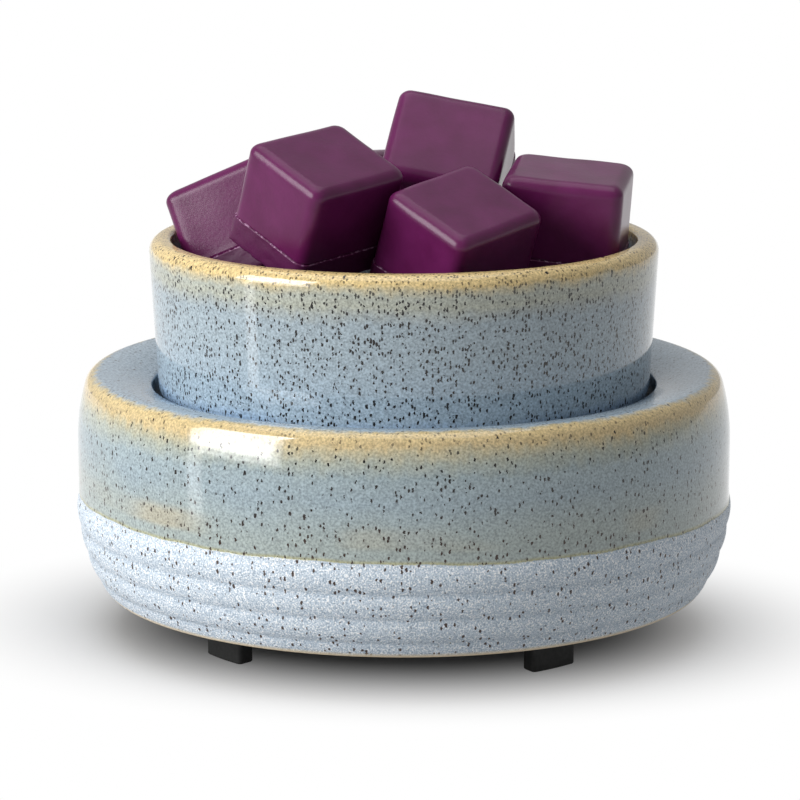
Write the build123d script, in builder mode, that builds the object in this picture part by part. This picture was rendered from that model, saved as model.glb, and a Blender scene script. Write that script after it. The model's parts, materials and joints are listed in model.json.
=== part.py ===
"""Wax melt warmer: a glazed stoneware body with a hot plate, and a loose dish of wax melts on the plate.

Sizes are in millimetres and +Z is up. The origin is on the surface that the warmer stands on, under the
middle of the body. The cord inlet faces +Y.
"""

import os
from math import cos, radians, sin, sqrt, tan

from build123d import *

os.makedirs("parts", exist_ok=True)

# Stoneware body
body_radius = 67.0
body_wall = 5.5
body_height = 44.4
foot_ring_inset = 5.3
foot_ring_z = 9.4
foot_ring_round = 1.0
foot_rebate = 3.4
foot_lip = 2.2
rib_band = 19.0
first_groove = 3.2
rib_pitch = 5.1
rib_round = 7.0
groove_count = 3
shoulder_round = 42.0
shoulder_turn = 16.0
crest_round = 3.0
crest_fall = 2.0
saucer_depth = 2.6
hole_edge_round = 1.0
deck_corner_round = 1.5

# Seat of the heater in the body
ledge_depth = 9.3
ledge_width = 4.0
ledge_thickness = 4.5
seat_clearance = 0.5

# Heater
gasket_thickness = 0.6
bezel_flange_thickness = 2.9
bezel_wall = 2.5
bezel_shoulder = 2.4
cup_depth = 17.9
plate_thickness = 2.5
plate_proud = 0.5
plate_overlap = 5.8
plate_clearance = 0.3
mica_thickness = 0.5
element_thickness = 0.6
element_inset = 2.0
element_bore_radius = 8.0
felt_thickness = 5.0
press_plate_thickness = 1.0
stud_count = 4
stud_circle_radius = 30.0
stud_radius = 2.0
stud_tail = 0.6
nut_flats = 7.0
nut_height = 3.2
hole_clearance = 0.2
terminal_radius = 1.2
terminal_length = 4.3
terminal_hole_radius = 3.0
neutral_terminal_x = 12.0
neutral_terminal_y = 22.0
live_terminal_x = -14.0
live_terminal_y = -26.0

# Thermal fuse under the press plate
fuse_radius = 2.0
fuse_length = 11.0
fuse_wire_radius = 0.5
fuse_wire_end = 15.0
sleeve_wall = 0.7
sleeve_length = 24.0
small_gap = 0.1
clip_thickness = 0.8
clip_width = 8.0
clip_foot = 5.4
clip_screw_head_radius = 2.5
clip_screw_head = 1.8

# Wiring
lead_radius = 1.1
connector_radius = 3.2
connector_length = 14.0
connector_spacing = 22.0
connector_setback = 22.0
lead_start_run = 6.0
lead_end_run = 5.6

# Base
base_clearance = 0.4
base_thickness = 2.4
base_gasket_thickness = 0.5
base_gasket_width = 1.6
post_radius = 4.5
post_inset = 3.4
post_count = 4
post_gap = 0.3
lug_height = 8.0
screw_radius = 1.5
screw_reach = 6.0
screw_clearance = 0.05
screw_head_radius = 2.8
screw_head = 2.0
vent_count = 12
vent_circle_radius = 21.0
vent_length = 12.0
vent_width = 2.5

# Feet
foot_outer_radius = 47.3
foot_depth = 4.0
foot_span = 13.7
foot_corner = 1.0
foot_bottom_round = 0.4
foot_tenon_inset = 1.0
foot_tenon_proud = 1.0
foot_angles = {"front_right": -45, "rear_right": 45, "rear_left": 135, "front_left": -135}

# Cord inlet
inlet_height = 8.0
inlet_depth = 2.2
inlet_wall = 5.8
inlet_hole_radius = 4.4
grommet_bore_radius = 2.9
grommet_flange_radius = 6.2
grommet_flange = 1.2
spot_face_clearance = 0.4

# Wax dish
dish_inner_floor_radius = 46.9
dish_height = 35.4
dish_wall = 3.2
dish_flare = 1.95
dish_inner_flare = 0.5
dish_gap = 1.5
dish_floor = 3.9
dish_foot_round = 5.5
dish_floor_round = 4.0
lip_outer_round = 2.6
lip_inner_round = 0.9

# Wax melts, cast in the pockets of a tray and snapped apart at a thin web
melt_width = 21.5
melt_length = 24.5
melt_height = 22.0
melt_round = 2.5
web_thickness = 5.6
web_proud = 0.3
web_round = 1.2
melt_gap = 0.1

# Derived heights and radii
dish_foot_radius = dish_inner_floor_radius + dish_wall
dish_rim_radius = dish_foot_radius + dish_flare
dish_inner_rim_radius = dish_inner_floor_radius + dish_inner_flare
hole_radius = dish_foot_radius + dish_gap

band_top_z = foot_ring_z + rib_band
crest_z = foot_ring_z + body_height
hole_edge_z = crest_z - saucer_depth
deck_corner_z = hole_edge_z - body_wall
shoulder_lead = shoulder_round - crest_round
shoulder_z = crest_z - crest_round - shoulder_lead * sin(radians(shoulder_turn))
shoulder_middle = (body_radius - shoulder_round, shoulder_z)
crest_middle_radius = body_radius - shoulder_round + shoulder_lead * cos(radians(shoulder_turn))
crest_middle = (crest_middle_radius, crest_z - crest_round)
ledge_z = hole_edge_z - ledge_depth
foot_ring_radius = body_radius - foot_ring_inset
belly_radius = (rib_band**2 + foot_ring_inset**2) / (2 * foot_ring_inset)
ledge_bore_radius = hole_radius - ledge_width
inner_radius = body_radius - body_wall
foot_ring_bore = foot_ring_radius - body_wall
rebate_z = foot_ring_z + foot_rebate
rebate_radius = foot_ring_radius - foot_lip
rebate_bore = foot_ring_bore + (inner_radius - foot_ring_bore) * foot_rebate / rib_band
deck_corner_radius = (hole_radius + inner_radius) / 2
deck_pocket = inner_radius - deck_corner_radius

flange_z = ledge_z + gasket_thickness
bezel_top_z = flange_z + bezel_flange_thickness
bezel_bottom_z = ledge_z - cup_depth
bezel_radius = hole_radius - seat_clearance
cup_radius = ledge_bore_radius - seat_clearance
cup_bore = cup_radius - bezel_wall
shoulder_bore = cup_bore - bezel_shoulder
post_circle_radius = cup_bore - post_inset
plate_top_z = bezel_top_z + plate_proud
plate_z = plate_top_z - plate_thickness
recess_radius = shoulder_bore + plate_overlap
upper_mica_z = plate_z - mica_thickness
element_z = upper_mica_z - element_thickness
lower_mica_z = element_z - mica_thickness
felt_z = lower_mica_z - felt_thickness
press_z = felt_z - press_plate_thickness
terminal_z = press_z - terminal_length
neutral_terminal = (neutral_terminal_x, neutral_terminal_y)
live_terminal = (live_terminal_x, live_terminal_y)
stack_radius = shoulder_bore - plate_clearance

base_z = rebate_z - base_gasket_thickness - base_thickness
base_top_z = base_z + base_thickness
base_radius = rebate_radius - base_clearance

sleeve_radius = fuse_radius + small_gap + sleeve_wall
fuse_x = live_terminal_x
fuse_z = press_z - sleeve_radius - small_gap

dish_rim_z = plate_top_z + dish_height
dish_floor_z = plate_top_z + dish_floor


def belly(z):
    """Radius of the belly at a height: an arc that leaves the straight wall at the top of the ribs."""
    return body_radius - belly_radius + sqrt(belly_radius**2 - (band_top_z - z) ** 2)


def save(part, label):
    """Label a finished piece and write it under its own name."""
    part.label = label
    export_step(part, f"parts/{label}.step")


def round_corner(section, corner, size):
    """Round one corner of a turned section, found by its radius and height."""
    fillet(section.vertices().sort_by_distance(corner)[0], size)


# The body is turned on a wheel: ribs below, a straight wall, a shoulder that leans in, a rounded crest and a
# shallow saucer down to the hole.
# A rebate inside its foot ring takes the base, so that the base doesn't show from the side.
groove_heights = [foot_ring_z + first_groove + k * rib_pitch for k in range(groove_count)]
grooves = [(belly(z), z) for z in groove_heights]
rib_ends = [(foot_ring_radius, foot_ring_z), *grooves, (body_radius, band_top_z)]
inlet_z = base_top_z + inlet_height
inlet_face_y = belly(inlet_z) - inlet_depth
inlet_back_y = inlet_face_y - inlet_wall
inlet_plane = Plane(origin=(0, inlet_face_y, inlet_z), x_dir=(-1, 0, 0), z_dir=(0, 1, 0))
inlet_back_plane = inlet_plane.offset(inlet_back_y - inlet_face_y)
spot_face_radius = grommet_flange_radius + spot_face_clearance

with BuildPart() as body_shell:
    with BuildSketch(Plane.XZ) as body_section:
        with BuildLine():
            for low, high in zip(rib_ends, rib_ends[1:]):
                RadiusArc(low, high, -rib_round)
            Line((body_radius, band_top_z), (body_radius, shoulder_z))
            CenterArc(shoulder_middle, shoulder_round, 0, shoulder_turn)
            crest = CenterArc(crest_middle, crest_round, shoulder_turn, 90 + crest_fall - shoulder_turn)
            TangentArc(crest @ 1, (hole_radius, hole_edge_z), tangent=crest % 1)
            Polyline(
                (hole_radius, hole_edge_z),
                (hole_radius, ledge_z),
                (ledge_bore_radius, ledge_z),
                (ledge_bore_radius, ledge_z - ledge_thickness),
                (deck_corner_radius, ledge_z - ledge_thickness),
                (inner_radius, deck_corner_z),
                (inner_radius, band_top_z),
                (rebate_bore, rebate_z),
                (rebate_radius, rebate_z),
                (rebate_radius, foot_ring_z),
                (foot_ring_radius, foot_ring_z),
            )
        make_face()
        round_corner(body_section, (hole_radius, hole_edge_z), hole_edge_round)
        round_corner(body_section, (foot_ring_radius, foot_ring_z), foot_ring_round)
        round_corner(body_section, (inner_radius, deck_corner_z), min(deck_corner_round, deck_pocket / 3))
    revolve(axis=Axis.Z)
    with BuildSketch(inlet_plane):
        Circle(spot_face_radius)
    extrude(amount=body_radius, mode=Mode.SUBTRACT)
    with BuildSketch(inlet_plane):
        Circle(inlet_hole_radius)
    extrude(amount=inlet_back_y - inlet_face_y - body_wall, mode=Mode.SUBTRACT)
    with BuildSketch(inlet_back_plane):
        Circle(spot_face_radius)
    extrude(amount=-body_wall, mode=Mode.SUBTRACT)
save(body_shell.part, "body_shell")

# Rubber grommet in the wall, with a flange on each side
with BuildPart() as cord_grommet:
    with BuildSketch(inlet_plane):
        Circle(grommet_flange_radius)
    extrude(amount=grommet_flange)
    with BuildSketch(inlet_plane):
        Circle(inlet_hole_radius - small_gap)
    extrude(amount=inlet_back_y - inlet_face_y)
    with BuildSketch(inlet_back_plane):
        Circle(grommet_flange_radius)
    extrude(amount=-grommet_flange)
    with BuildSketch(inlet_plane.offset(grommet_flange)):
        Circle(grommet_bore_radius)
    extrude(amount=inlet_back_y - inlet_face_y - 2 * grommet_flange, mode=Mode.SUBTRACT)
save(cord_grommet.part, "cord_grommet")

# Silicone ring on the ledge of the body, under the flange of the bezel
with BuildPart() as bezel_gasket:
    with BuildSketch(Plane.XY.offset(ledge_z)):
        Circle(bezel_radius - small_gap)
        Circle(ledge_bore_radius + small_gap, mode=Mode.SUBTRACT)
    extrude(amount=gasket_thickness)
save(bezel_gasket.part, "bezel_gasket")

# Black moulded bezel: a flange on the ledge, a cup below it and four lugs for the base screws
with BuildPart() as heater_bezel:
    with BuildSketch(Plane.XZ):
        Polygon(
            (cup_radius, bezel_bottom_z),
            (cup_radius, flange_z),
            (bezel_radius, flange_z),
            (bezel_radius, bezel_top_z),
            (recess_radius, bezel_top_z),
            (recess_radius, plate_z),
            (shoulder_bore, plate_z),
            (shoulder_bore, felt_z),
            (cup_bore, felt_z),
            (cup_bore, bezel_bottom_z),
            align=None,
        )
    revolve(axis=Axis.Z)
    with BuildSketch(Plane.XY.offset(bezel_bottom_z)):
        with PolarLocations(post_circle_radius, post_count):
            Circle(post_radius)
    extrude(amount=lug_height)
    with BuildSketch(Plane.XY.offset(bezel_bottom_z)):
        with PolarLocations(post_circle_radius, post_count):
            Circle(screw_radius + screw_clearance)
    extrude(amount=lug_height, mode=Mode.SUBTRACT)
save(heater_bezel.part, "heater_bezel")

# Hot plate: a coated aluminium disc with threaded studs below
with BuildPart() as hot_plate:
    with BuildSketch(Plane.XY.offset(plate_z)):
        Circle(recess_radius - plate_clearance)
    extrude(amount=plate_thickness)
    with BuildSketch(Plane.XY.offset(plate_z)):
        with PolarLocations(stud_circle_radius, stud_count, start_angle=45):
            Circle(stud_radius)
    extrude(amount=-(plate_z - press_z + nut_height + stud_tail))
save(hot_plate.part, "hot_plate")


def stack_sheet(radius, low_z, thickness, below_element):
    """A round sheet of the heater, with stud holes and, below the element, holes for its terminals."""
    with BuildPart() as sheet:
        with BuildSketch(Plane.XY.offset(low_z)):
            Circle(radius)
            with PolarLocations(stud_circle_radius, stud_count, start_angle=45):
                Circle(stud_radius + hole_clearance, mode=Mode.SUBTRACT)
            if below_element:
                with Locations(neutral_terminal, live_terminal):
                    Circle(terminal_hole_radius, mode=Mode.SUBTRACT)
        extrude(amount=thickness)
    return sheet.part


save(stack_sheet(stack_radius, upper_mica_z, mica_thickness, False), "mica_upper")
save(stack_sheet(stack_radius, lower_mica_z, mica_thickness, True), "mica_lower")
save(stack_sheet(stack_radius, felt_z, felt_thickness, True), "insulation_felt")

# Foil heating element between the two mica sheets, with a terminal post at each end of its track
with BuildPart() as heating_element:
    with BuildSketch(Plane.XY.offset(element_z)):
        Circle(stack_radius - element_inset)
        Circle(element_bore_radius, mode=Mode.SUBTRACT)
        with PolarLocations(stud_circle_radius, stud_count, start_angle=45):
            Circle(stud_radius + hole_clearance, mode=Mode.SUBTRACT)
    extrude(amount=element_thickness)
    with BuildSketch(Plane.XY.offset(element_z)):
        with Locations(neutral_terminal, live_terminal):
            Circle(terminal_radius)
    extrude(amount=terminal_z - element_z)
save(heating_element.part, "heating_element")

# Steel plate that clamps the stack, bears on the shoulder of the bezel and carries the fuse clip
clip_reach = sleeve_radius + small_gap + clip_thickness + clip_foot
clip_screw_x = fuse_x + clip_reach - clip_foot / 2
with BuildPart() as press_plate:
    with BuildSketch(Plane.XY.offset(press_z)):
        Circle(cup_bore - plate_clearance)
        with PolarLocations(stud_circle_radius, stud_count, start_angle=45):
            Circle(stud_radius + hole_clearance, mode=Mode.SUBTRACT)
        with Locations(neutral_terminal, live_terminal):
            Circle(terminal_hole_radius, mode=Mode.SUBTRACT)
        with Locations((clip_screw_x, 0)):
            Circle(screw_radius + screw_clearance, mode=Mode.SUBTRACT)
    extrude(amount=press_plate_thickness)
save(press_plate.part, "press_plate")

with BuildPart() as press_nuts:
    with BuildSketch(Plane.XY.offset(press_z)):
        with PolarLocations(stud_circle_radius, stud_count, start_angle=45):
            RegularPolygon(nut_flats / 2, 6, major_radius=False)
            Circle(stud_radius + screw_clearance, mode=Mode.SUBTRACT)
    extrude(amount=-nut_height)
save(press_nuts.part, "press_nuts")

# Thermal fuse: a small can with a wire at each end, along Y, one wire welded to the live terminal
fuse_plane = Plane(origin=(fuse_x, 0, fuse_z), x_dir=(1, 0, 0), z_dir=(0, 1, 0))
live_wire_end = live_terminal_y + terminal_radius + small_gap
with BuildPart() as thermal_fuse:
    with BuildSketch(fuse_plane):
        Circle(fuse_radius)
    extrude(amount=fuse_length / 2, both=True)
    with BuildSketch(fuse_plane.offset(live_wire_end)):
        Circle(fuse_wire_radius)
    extrude(amount=fuse_wire_end - live_wire_end)
save(thermal_fuse.part, "thermal_fuse")

with BuildPart() as fuse_sleeve:
    with BuildSketch(fuse_plane):
        Circle(sleeve_radius)
        Circle(fuse_radius + small_gap, mode=Mode.SUBTRACT)
    extrude(amount=sleeve_length / 2, both=True)
save(fuse_sleeve.part, "fuse_sleeve")

# Strap over the sleeve: a U between two flat feet, one of them screwed to the press plate
strap_bore = sleeve_radius + small_gap
strap_radius = strap_bore + clip_thickness
strap_side = press_z - fuse_z
with BuildPart() as fuse_clip:
    with BuildSketch(Plane.XZ):
        with Locations((fuse_x, fuse_z)):
            Circle(strap_radius)
            Rectangle(2 * strap_radius, strap_radius, align=(Align.CENTER, Align.MIN), mode=Mode.SUBTRACT)
            Rectangle(2 * strap_radius, strap_side, align=(Align.CENTER, Align.MIN))
        with Locations((fuse_x, press_z)):
            Rectangle(2 * clip_reach, clip_thickness, align=(Align.CENTER, Align.MAX))
        with Locations((fuse_x, fuse_z)):
            Circle(strap_bore, mode=Mode.SUBTRACT)
            Rectangle(2 * strap_bore, strap_side, align=(Align.CENTER, Align.MIN), mode=Mode.SUBTRACT)
    extrude(amount=clip_width / 2, both=True)
    with BuildSketch(Plane.XY.offset(press_z)):
        with Locations((clip_screw_x, 0)):
            Circle(screw_radius + screw_clearance)
    extrude(amount=-clip_thickness, mode=Mode.SUBTRACT)
save(fuse_clip.part, "fuse_clip")

with BuildPart() as fuse_clip_screw:
    with BuildSketch(Plane.XY.offset(press_z - clip_thickness)):
        with Locations((clip_screw_x, 0)):
            Circle(screw_radius)
    extrude(amount=clip_thickness + press_plate_thickness)
    with BuildSketch(Plane.XY.offset(press_z - clip_thickness)):
        with Locations((clip_screw_x, 0)):
            Circle(clip_screw_head_radius)
    extrude(amount=-clip_screw_head)
save(fuse_clip_screw.part, "fuse_clip_screw")


def lead(points):
    """A wire along straight runs and arcs, each arc as large as 0.45 of its shorter run allows."""
    spots = [Vector(*point) for point in points]
    runs = [after - before for before, after in zip(spots, spots[1:])]
    bends = []
    for first, second in zip(runs, runs[1:]):
        half_turn = radians(first.get_angle(second)) / 2
        bends.append(0.45 * min(first.length, second.length) / tan(half_turn))
    with BuildPart() as wire:
        with BuildLine() as route:
            FilletPolyline(*spots, radius=bends)
        with BuildSketch(Plane(origin=spots[0], z_dir=runs[0])):
            Circle(lead_radius)
        sweep(path=route.line)
    length = sum(edge.length for edge in route.edges())
    print("lead bends", [round(bend, 1) for bend in bends], "length", round(length, 1))
    return wire.part


# Each lead ends face to face with its crimp connector near the cord inlet
connector_x = connector_spacing / 2
connector_y = inlet_back_y - connector_setback
connector_z = (base_top_z + bezel_bottom_z) / 2
live_route = [
    (fuse_x, fuse_wire_end, fuse_z),
    (fuse_x, fuse_wire_end + lead_start_run, fuse_z),
    (-connector_x, connector_y - lead_end_run, connector_z),
    (-connector_x, connector_y, connector_z),
]
neutral_route = [
    (neutral_terminal_x, neutral_terminal_y, terminal_z),
    (neutral_terminal_x, neutral_terminal_y, terminal_z - lead_start_run),
    (connector_x, connector_y - lead_end_run, connector_z),
    (connector_x, connector_y, connector_z),
]
save(lead(live_route), "live_lead")
save(lead(neutral_route), "neutral_lead")

with BuildPart() as wire_connectors:
    with BuildSketch(Plane(origin=(0, connector_y, connector_z), x_dir=(1, 0, 0), z_dir=(0, 1, 0))):
        with Locations((-connector_x, 0), (connector_x, 0)):
            Circle(connector_radius)
    extrude(amount=connector_length)
save(wire_connectors.part, "wire_connectors")


def foot_sector(middle_angle, inset):
    """Outline of a foot seen from below: a sector of a ring with rounded corners."""
    inset_angle = inset / radians(foot_outer_radius)
    start = middle_angle - foot_span / 2 + inset_angle
    span = foot_span - 2 * inset_angle
    with BuildSketch(mode=Mode.PRIVATE) as sector:
        with BuildLine():
            outer = CenterArc((0, 0), foot_outer_radius - inset, start, span)
            inner = CenterArc((0, 0), foot_outer_radius - foot_depth + inset, start, span)
            Line(outer @ 0, inner @ 0)
            Line(outer @ 1, inner @ 1)
        make_face()
    return sector.sketch


# Base plate in the foot ring of the body, with posts up to the lugs of the bezel, vents and slots for the feet
with BuildPart() as base_plate:
    with BuildSketch(Plane.XY.offset(base_z)):
        Circle(base_radius)
        with PolarLocations(vent_circle_radius, vent_count):
            SlotOverall(vent_length, vent_width, mode=Mode.SUBTRACT)
        for angle in foot_angles.values():
            add(foot_sector(angle, foot_tenon_inset), mode=Mode.SUBTRACT)
    extrude(amount=base_thickness)
    with BuildSketch(Plane.XY.offset(base_top_z)):
        with PolarLocations(post_circle_radius, post_count):
            Circle(post_radius)
    extrude(amount=bezel_bottom_z - post_gap - base_top_z)
    with BuildSketch(Plane.XY.offset(base_z)):
        with PolarLocations(post_circle_radius, post_count):
            Circle(screw_radius + hole_clearance)
    extrude(amount=bezel_bottom_z - base_z, mode=Mode.SUBTRACT)
    with BuildSketch(Plane.XY.offset(base_z)):
        with PolarLocations(post_circle_radius, post_count):
            Circle(screw_head_radius + hole_clearance)
    extrude(amount=screw_head, mode=Mode.SUBTRACT)
save(base_plate.part, "base_plate")

with BuildPart() as base_gasket:
    with BuildSketch(Plane.XY.offset(base_top_z)):
        Circle(base_radius)
        Circle(base_radius - base_gasket_width, mode=Mode.SUBTRACT)
    extrude(amount=base_gasket_thickness)
save(base_gasket.part, "base_gasket")

with BuildPart() as base_screws:
    with BuildSketch(Plane.XY.offset(base_z)):
        with PolarLocations(post_circle_radius, post_count):
            Circle(screw_head_radius)
    extrude(amount=screw_head)
    with BuildSketch(Plane.XY.offset(base_z + screw_head)):
        with PolarLocations(post_circle_radius, post_count):
            Circle(screw_radius)
    extrude(amount=bezel_bottom_z + screw_reach - base_z - screw_head)
save(base_screws.part, "base_screws")

# Four rubber feet, each with a tenon through its slot in the base plate
for corner, angle in foot_angles.items():
    with BuildPart() as foot:
        with BuildSketch() as outline:
            add(foot_sector(angle, 0))
            fillet(outline.vertices(), foot_corner)
        extrude(amount=base_z)
        fillet(foot.faces().sort_by(Axis.Z)[0].edges(), foot_bottom_round)
        with BuildSketch(Plane.XY.offset(base_z)):
            add(foot_sector(angle, foot_tenon_inset + small_gap))
        extrude(amount=base_thickness + foot_tenon_proud)
    save(foot.part, f"foot_{corner}")

# Dish: a flat unglazed foot on the plate, a slightly flared wall and a rounded lip
with BuildPart() as wax_dish:
    with BuildSketch(Plane.XZ) as dish_section:
        Polygon(
            (0, plate_top_z),
            (dish_foot_radius, plate_top_z),
            (dish_rim_radius, dish_rim_z),
            (dish_inner_rim_radius, dish_rim_z),
            (dish_inner_floor_radius, dish_floor_z),
            (0, dish_floor_z),
            align=None,
        )
        round_corner(dish_section, (dish_foot_radius, plate_top_z), dish_foot_round)
        round_corner(dish_section, (dish_rim_radius, dish_rim_z), lip_outer_round)
        round_corner(dish_section, (dish_inner_rim_radius, dish_rim_z), lip_inner_round)
        round_corner(dish_section, (dish_inner_floor_radius, dish_floor_z), dish_floor_round)
    revolve(axis=Axis.Z)
save(wax_dish.part, "wax_dish")


def wax_melt(middle, turns):
    """One melt about its middle, turned about Z, then about its own Y and its own X."""
    place = Plane(Location(middle, turns, Intrinsic.ZYX))
    bottom = place.offset(-melt_height / 2)
    with BuildPart() as melt:
        with BuildSketch(bottom):
            RectangleRounded(melt_width, melt_length, melt_round)
        extrude(amount=melt_height)
        top_edges = melt.faces().sort_by(Axis(middle, place.z_dir))[-1].edges()
        fillet(top_edges, melt_round - small_gap)
        with BuildSketch(bottom):
            RectangleRounded(melt_width + 2 * web_proud, melt_length + 2 * web_proud, web_round)
        extrude(amount=web_thickness)
    return melt.part


# The melts on the floor: across and back in melt lengths, which side is down, and the turns in degrees
lying = melt_width / 2 + web_proud + melt_gap
on_edge = melt_length / 2 + web_proud + melt_gap
upright = melt_height / 2 + melt_gap
bed = {
    "bed_right": (1.135, 0.142, lying, (24.0, 90.0, 0.0)),
    "bed_left": (-0.840, -0.865, on_edge, (9.7, 0.0, 90.0)),
    "bed_front": (0.230, -0.374, lying, (-67.2, -90.0, 0.0)),
    "bed_back": (0.249, 1.035, upright, (-76.7, 0.0, 0.0)),
}

# The melts on top of those, with the middle of each so many melt heights above the floor
pile = {
    "front_left": (-0.595, -1.044, 1.877, (-38.3, 24.0, 6.1)),
    "front": (0.511, -1.014, 1.496, (-34.5, 24.5, 9.7)),
    "top": (0.325, 0.511, 1.999, (-104.8, 49.6, -14.2)),
    "right": (1.349, -0.144, 1.597, (-94.8, 7.3, -4.5)),
    "left": (-1.326, 0.101, 1.474, (78.3, 12.7, -24.7)),
    "back": (-0.729, 0.950, 1.554, (67.0, 3.6, -4.2)),
}
rise = {name: spot[2] for name, spot in bed.items()}
rise |= {name: spot[2] * melt_height for name, spot in pile.items()}

for name, (across, back, _, turns) in (bed | pile).items():
    middle = (across * melt_length, back * melt_length, dish_floor_z + rise[name])
    save(wax_melt(middle, turns), f"wax_melt_{name}")
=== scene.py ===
# %% [markdown]
# # A wax melt warmer in glazed stoneware
#
# The warmer is a low round stoneware body with a hot plate in its top, and a loose dish of wax melts on the plate.
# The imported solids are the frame: they give every place and size. The pieces that the eye rests on, the two pots and
# the wax, are made again here as smooth fine surfaces, and the other pieces keep their solids and get a finish.

# %% Load the frame
import json

import bpy
import numpy as np
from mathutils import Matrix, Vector


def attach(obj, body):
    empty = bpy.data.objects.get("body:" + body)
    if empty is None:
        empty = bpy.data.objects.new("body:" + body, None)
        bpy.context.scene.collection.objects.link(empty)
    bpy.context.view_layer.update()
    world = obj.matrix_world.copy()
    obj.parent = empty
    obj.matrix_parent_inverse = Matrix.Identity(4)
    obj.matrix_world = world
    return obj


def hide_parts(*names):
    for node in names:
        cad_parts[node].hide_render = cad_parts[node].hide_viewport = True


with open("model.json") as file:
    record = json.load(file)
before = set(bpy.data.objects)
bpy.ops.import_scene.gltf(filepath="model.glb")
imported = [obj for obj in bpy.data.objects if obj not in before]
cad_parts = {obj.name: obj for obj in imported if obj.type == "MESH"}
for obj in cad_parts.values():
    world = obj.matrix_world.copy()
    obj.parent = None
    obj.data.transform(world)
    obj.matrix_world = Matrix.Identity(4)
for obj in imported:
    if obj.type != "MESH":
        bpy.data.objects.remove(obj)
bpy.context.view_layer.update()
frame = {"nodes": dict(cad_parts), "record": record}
MM = 0.001

# %% [markdown]
# ## Camera
#
# A long lens some 70 cm away, a little above the rim and a few degrees to the right of the front. The aim is a point
# on the pot's own axis, so the pot keeps its place in the picture when the distance is changed.

# %% The camera
eye = Vector((65.7, -682.5, 187.6)) * MM
aim = Vector((0.0, 0.0, 46.7)) * MM
lens = bpy.data.cameras.new("camera")
lens.sensor_width = 36.0
lens.lens = 152.87
lens.shift_x = -0.005
lens.shift_y = 0.001
camera = bpy.data.objects.new("camera", lens)
camera.location = eye
camera.rotation_mode = "QUATERNION"
camera.rotation_quaternion = (aim - eye).to_track_quat("-Z", "Y")
bpy.context.scene.collection.objects.link(camera)
bpy.context.scene.camera = camera
print("camera distance in mm:", round((aim - eye).length / MM, 1))

# %% [markdown]
# ## From a grid of points to a mesh
#
# A pot is a section carried round an axis, and a cast block is a stack of outlines. Both are grids of points: rows
# that run along the section, and columns that run round. One function turns such a grid into a closed mesh, so the
# shapes below are only formulas for points.

# %% Make a mesh from a grid
def mesh_of_grid(name, points, ring):
    """Join a grid of points in mm, rows by columns, into quads; the columns always close.

    A ring closes its rows too, like a tyre. Otherwise the first and the last row are each closed by a flat polygon.
    With columns that run anticlockwise and rows that run up the outside, the faces look outwards.
    """
    rows, columns = points.shape[:2]
    index = np.arange(rows * columns).reshape(rows, columns)
    caps = [] if ring else [index[0][::-1].tolist(), index[-1].tolist()]
    if ring:
        index = np.vstack([index, index[:1]])
    turned = np.roll(index, -1, axis=1)
    quads = np.stack([index[:-1], turned[:-1], turned[1:], index[1:]], axis=-1).reshape(-1, 4)
    mesh = bpy.data.meshes.new(name)
    mesh.from_pydata((points.reshape(-1, 3) * MM).tolist(), [], quads.tolist() + caps)
    mesh.shade_smooth()
    print(name, "has", len(mesh.polygons), "faces")
    return mesh


def piece_of_mesh(name, mesh):
    """Put a mesh into the scene as an object at the origin."""
    piece = bpy.data.objects.new(name, mesh)
    bpy.context.scene.collection.objects.link(piece)
    return piece


# %% [markdown]
# ## Lines and arcs for a section
#
# A potter's section is made of straight runs, arcs that bulge, and corners with a round. Each is a short list of
# points of (radius, height) in mm, and the lists are joined end to end. Arcs from a formula keep their true radius,
# which a bevel on a coarse outline would only come near.

# %% Draw a section and carry it round
def straight(start, end, count):
    """Points at equal steps on the line from start to end."""
    share = np.linspace(0, 1, count)[:, None]
    return np.array(start) * (1 - share) + np.array(end) * share


def arc(middle, radius, first, last, count):
    """Points of a circle, from one angle to another: the middle plus radius times (cos t, sin t)."""
    turn = np.linspace(first, last, count)
    return middle + radius * np.stack([np.cos(turn), np.sin(turn)], axis=1)


def angle_of(way):
    """The angle of a direction, anticlockwise from the radius."""
    return np.arctan2(way[1], way[0])


def half_turn(turn):
    """The same turn, brought to between minus and plus half a circle."""
    return (turn + np.pi) % (2 * np.pi) - np.pi


def bow(start, end, radius, count):
    """Points of the arc from start to end with that radius, bulging to the right of the way from start to end.

    The middle of the circle lies to the left of the chord's middle, by the root of radius squared less half the
    chord squared.
    """
    start, end = np.array(start), np.array(end)
    chord = end - start
    left = np.array([-chord[1], chord[0]]) / np.hypot(*chord)
    middle = (start + end) / 2 + left * np.sqrt(radius**2 - chord @ chord / 4)
    first = angle_of(start - middle)
    return arc(middle, radius, first, first + (angle_of(end - middle) - first) % (2 * np.pi), count)


def rounded(corners, step):
    """A line through corners of (radius, height, round), each corner swept by an arc that touches both its sides.

    The arc starts at the round divided by the tangent of half the corner's angle, measured back from the corner.
    """
    path = [np.array(corners[0][:2])[None]]
    for before, here, after in zip(corners, corners[1:], corners[2:]):
        point, size = np.array(here[:2]), here[2]
        back = np.array(before[:2]) - point
        ahead = np.array(after[:2]) - point
        back, ahead = back / np.hypot(*back), ahead / np.hypot(*ahead)
        half = np.arccos(np.clip(back @ ahead, -1, 1)) / 2
        reach = size / np.tan(half)
        middle = point + (back + ahead) / np.hypot(*(back + ahead)) * size / np.sin(half)
        first = angle_of(point + back * reach - middle)
        last = first + half_turn(angle_of(point + ahead * reach - middle) - first)
        swept = arc(middle, size, first, last, 9)
        run = np.hypot(*(swept[0] - path[-1][-1]))
        path += [straight(path[-1][-1], swept[0], max(2, round(run / step) + 1))[1:-1], swept]
    end = np.array(corners[-1][:2])
    run = np.hypot(*(end - path[-1][-1]))
    path.append(straight(path[-1][-1], end, max(2, round(run / step) + 1))[1:])
    return np.concatenate(path)


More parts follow.
